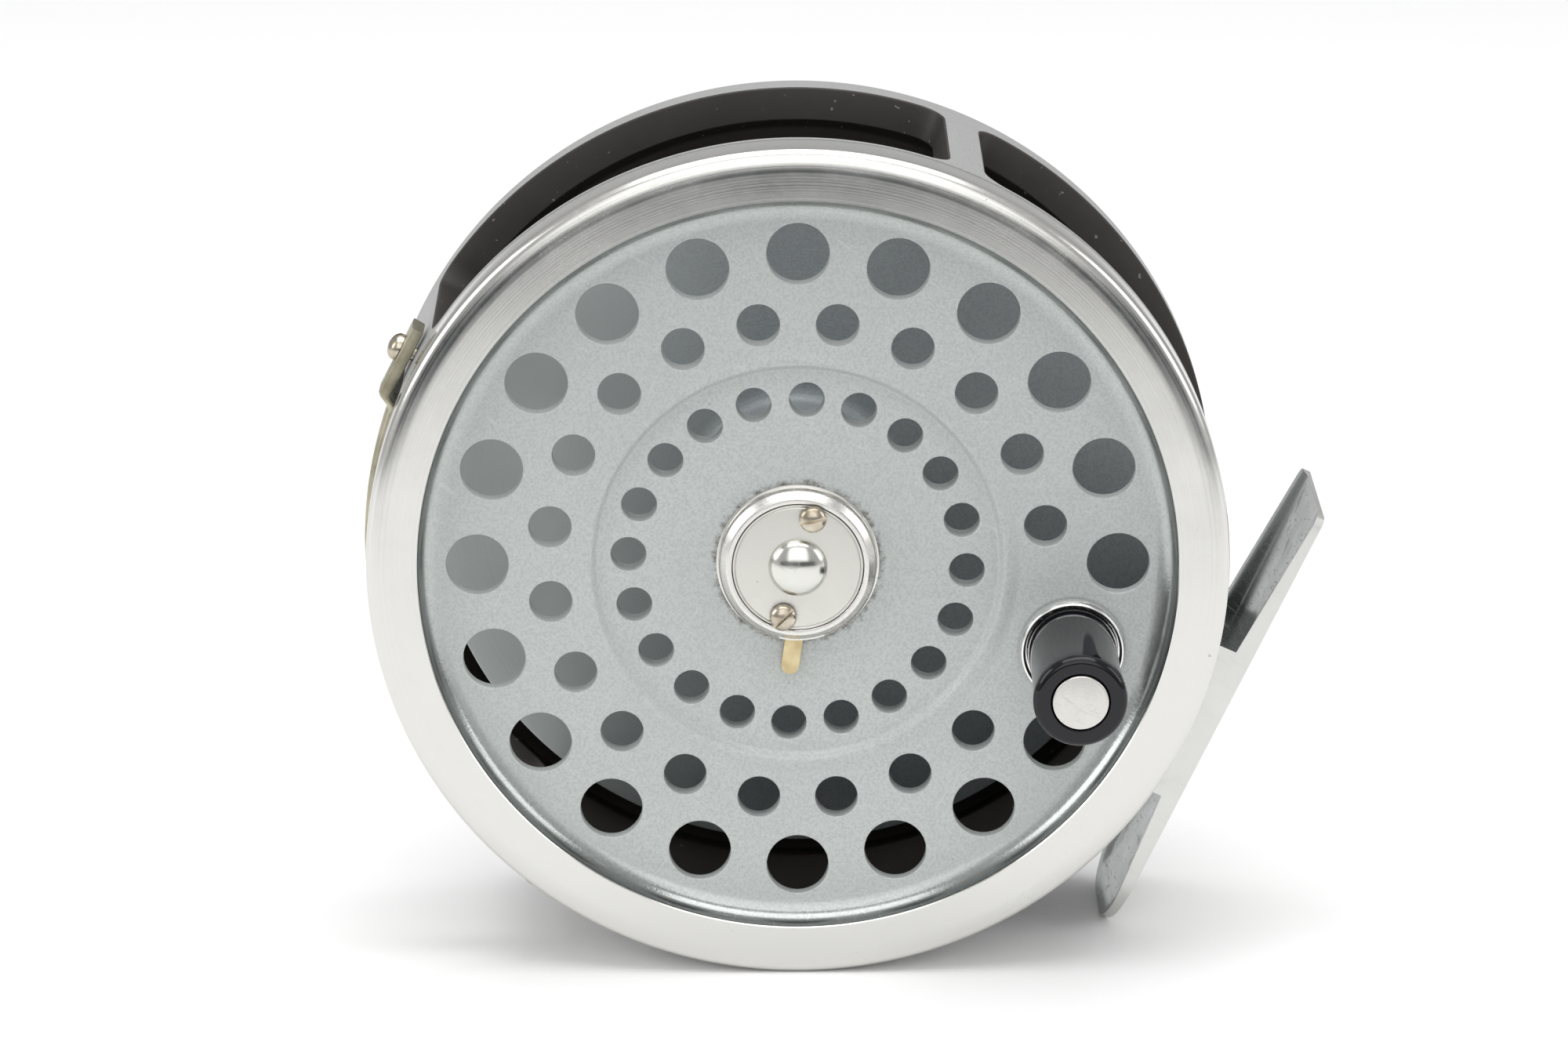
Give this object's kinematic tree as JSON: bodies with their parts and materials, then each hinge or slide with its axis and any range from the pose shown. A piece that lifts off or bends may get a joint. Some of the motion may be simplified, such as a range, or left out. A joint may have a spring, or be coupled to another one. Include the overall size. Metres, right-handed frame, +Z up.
{
  "type": "fly reel",
  "caption": "Fly fishing reel: perforated spool with an overhanging rim and a crank handle, open-windowed frame with a foot, line guard and adjustable click check.",
  "frame": {"origin": "under the middle of the reel, on the surface that its rim and the lower tip of its foot stand on", "axes": "+Y along the spool axis from the handle side to the back plate, +Z up, +X towards the foot"},
  "size_m": [0.1038, 0.0536, 0.092],
  "materials": {
    "enamel": "satin grey enamel on turned aluminium, worn bright on the rim",
    "bright_aluminium": "polished, lightly scratched",
    "steel": "turned or filed",
    "nickel_silver": "tarnished nickel silver",
    "brass": "dull brass",
    "black_gloss": "polished black resin"
  },
  "bodies": {
    "frame": {"frame": "enamel", "spindle": "steel", "spindle_nut": "steel", "reel_foot": "bright_aluminium", "foot_screw_1": "steel", "foot_screw_2": "steel", "line_guard": "nickel_silver", "guard_screw_1": "nickel_silver", "guard_screw_2": "nickel_silver", "pawl_post": "steel", "spare_pawl_post": "steel", "arm_post": "steel", "spare_spring_post": "steel", "spare_pawl": "steel", "spare_spring": "steel", "spare_spring_block": "brass"},
    "release_carrier": {"front_bush": "brass", "rear_bush": "brass"},
    "spool": {"spool": "enamel", "latch_cap": "bright_aluminium", "cap_screw_1": "nickel_silver", "cap_screw_2": "nickel_silver", "latch_spring": "steel", "handle_ferrule": "bright_aluminium", "handle_pin": "bright_aluminium", "ratchet_gear": "steel", "gear_screw_1": "steel", "gear_screw_2": "steel", "gear_screw_3": "steel"},
    "latch": {"latch_lever": "brass"},
    "handle": {"handle_knob": "black_gloss"},
    "pawl": {"check_pawl": "steel"},
    "arm": {"tension_arm": "brass", "check_spring": "steel"},
    "regulator": {"regulator_knob": "bright_aluminium", "regulator_cam": "brass", "regulator_screw": "steel"}
  },
  "joints": [
    {"name": "spool_release", "type": "slide", "parent": "frame", "child": "release_carrier", "axis": [0, -1, 0], "range_m": [0, 0.045]},
    {"name": "spool_spin", "type": "hinge", "parent": "release_carrier", "child": "spool", "pos_m": [-0.00527, 0, 0.046], "axis": [0, 1, 0], "continuous": true},
    {"name": "latch_swing", "type": "hinge", "parent": "spool", "child": "latch", "pos_m": [-0.00369, -0.00893, 0.05148], "axis": [0, -1, 0], "range_deg": [0, 8], "stiffness_Nm_per_rad": 0.004, "springref_deg": -114.59},
    {"name": "handle_spin", "type": "hinge", "parent": "spool", "child": "handle", "pos_m": [0.02412, -0.01783, 0.03645], "axis": [0, 1, 0], "continuous": true},
    {"name": "pawl_lift", "type": "hinge", "parent": "frame", "child": "pawl", "pos_m": [-0.01577, 0.01827, 0.0598], "axis": [0, -1, 0], "range_deg": [0, 8], "stiffness_Nm_per_rad": 0.004, "springref_deg": -85.94, "deforming": ["check_spring"]},
    {"name": "regulator_turn", "type": "hinge", "parent": "frame", "child": "regulator", "pos_m": [0.01323, 0.02117, 0.0552], "axis": [0, 1, 0], "range_deg": [0, 240]},
    {"name": "tension_arm_swing", "type": "hinge", "parent": "frame", "child": "arm", "pos_m": [0.00523, 0.01827, 0.0655], "axis": [0, 1, 0], "range_deg": [0, 11]}
  ],
  "couplings": [
    {"joint": "tension_arm_swing", "follows": "regulator_turn", "ratio": 0.045833}
  ]
}
